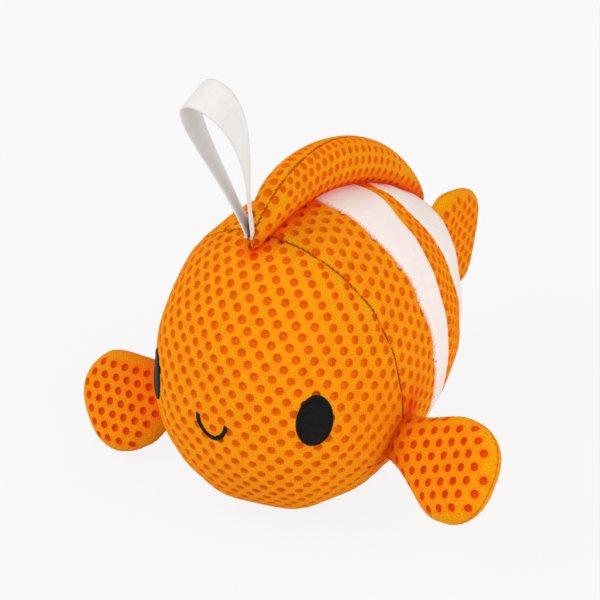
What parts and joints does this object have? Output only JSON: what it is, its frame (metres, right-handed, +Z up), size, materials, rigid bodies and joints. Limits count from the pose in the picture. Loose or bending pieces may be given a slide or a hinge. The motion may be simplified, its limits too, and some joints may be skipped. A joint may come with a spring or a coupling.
{
  "type": "squeaky bath toy",
  "caption": "Stuffed air-mesh clownfish bath toy with sewn fins, embroidered face, ribbon hanging loop and an inner bellows squeaker that sounds when its flanks are squeezed.",
  "frame": {"origin": "on the flat of the belly, below the widest station of the body", "axes": "+Z up along the back, nose towards -Y, the left side of the fish towards +X"},
  "size_m": [0.148, 0.1548, 0.1433],
  "materials": {
    "orange_mesh": "knitted spacer mesh with round holes, dimpled",
    "white_mesh": "smooth brushed knit",
    "white_ribbon": "ribbed grosgrain",
    "black_thread": "satin-stitch embroidery",
    "fibre": "loose polyester fibre",
    "soft_plastic": "blow-moulded soft plastic",
    "plug_plastic": "moulded",
    "reed_plastic": "thin film"
  },
  "bodies": {
    "torso": {"face_panel": "orange_mesh", "left_shoulder_panel": "orange_mesh", "right_shoulder_panel": "orange_mesh", "left_front_stripe": "white_mesh", "right_front_stripe": "white_mesh", "left_mid_panel": "orange_mesh", "right_mid_panel": "orange_mesh", "left_rear_stripe": "white_mesh", "right_rear_stripe": "white_mesh", "left_tail_base": "orange_mesh", "right_tail_base": "orange_mesh", "left_eye": "black_thread", "right_eye": "black_thread", "mouth": "black_thread", "squeaker_bellows": "soft_plastic"},
    "left_flank": {"left_stuffing": "fibre", "squeaker_left_cap": "soft_plastic"},
    "right_flank": {"right_stuffing": "fibre", "squeaker_right_cap": "soft_plastic", "reed_plug": "plug_plastic", "reed": "reed_plastic"},
    "left_fin": {"left_fin_front_panel": "orange_mesh", "left_fin_back_panel": "orange_mesh", "left_fin_filling": "fibre"},
    "right_fin": {"right_fin_front_panel": "orange_mesh", "right_fin_back_panel": "orange_mesh", "right_fin_filling": "fibre"},
    "dorsal_fin": {"dorsal_left_panel": "orange_mesh", "dorsal_right_panel": "orange_mesh", "dorsal_filling": "fibre"},
    "tail_fin": {"tail_left_panel": "orange_mesh", "tail_right_panel": "orange_mesh", "tail_filling": "fibre"},
    "loop": {"hanging_loop": "white_ribbon"}
  },
  "joints": [
    {"name": "left_squeeze", "type": "slide", "parent": "torso", "child": "left_flank", "axis": [-1, 0, 0], "range_m": [0, 0.008], "stiffness_N_per_m": 600, "deforming": ["face_panel", "left_shoulder_panel", "right_shoulder_panel", "left_front_stripe", "right_front_stripe", "left_mid_panel", "right_mid_panel", "left_rear_stripe", "right_rear_stripe", "left_tail_base", "right_tail_base", "left_eye", "right_eye", "left_stuffing", "right_stuffing", "squeaker_bellows"]},
    {"name": "right_squeeze", "type": "slide", "parent": "torso", "child": "right_flank", "axis": [1, 0, 0], "range_m": [0, 0.008], "stiffness_N_per_m": 600},
    {"name": "left_fin_flap", "type": "hinge", "parent": "left_flank", "child": "left_fin", "pos_m": [0.03783, -0.0047, 0.0288], "axis": [-0.1084, -0.5861, -0.803], "range_deg": [-16, 16], "stiffness_Nm_per_rad": 0.03},
    {"name": "right_fin_flap", "type": "hinge", "parent": "right_flank", "child": "right_fin", "pos_m": [-0.03783, -0.0047, 0.0288], "axis": [-0.6261, 0.3976, 0.6707], "range_deg": [-16, 16], "stiffness_Nm_per_rad": 0.03},
    {"name": "dorsal_lean", "type": "hinge", "parent": "torso", "child": "dorsal_fin", "pos_m": [0, -0.0165, 0.08932], "axis": [0, 0.9482, -0.3176], "range_deg": [-12, 12], "stiffness_Nm_per_rad": 0.15},
    {"name": "tail_wag", "type": "hinge", "parent": "torso", "child": "tail_fin", "pos_m": [0, 0.08545, 0.03925], "axis": [0, 0, 1], "range_deg": [-20, 20], "stiffness_Nm_per_rad": 0.04},
    {"name": "loop_flop", "type": "hinge", "parent": "torso", "child": "loop", "pos_m": [0, -0.02005, 0.08868], "axis": [0, 0.9659, 0.2588], "range_deg": [-45, 45], "stiffness_Nm_per_rad": 0.01}
  ],
  "couplings": [
    {"joint": "right_squeeze", "follows": "left_squeeze", "ratio": 1}
  ]
}
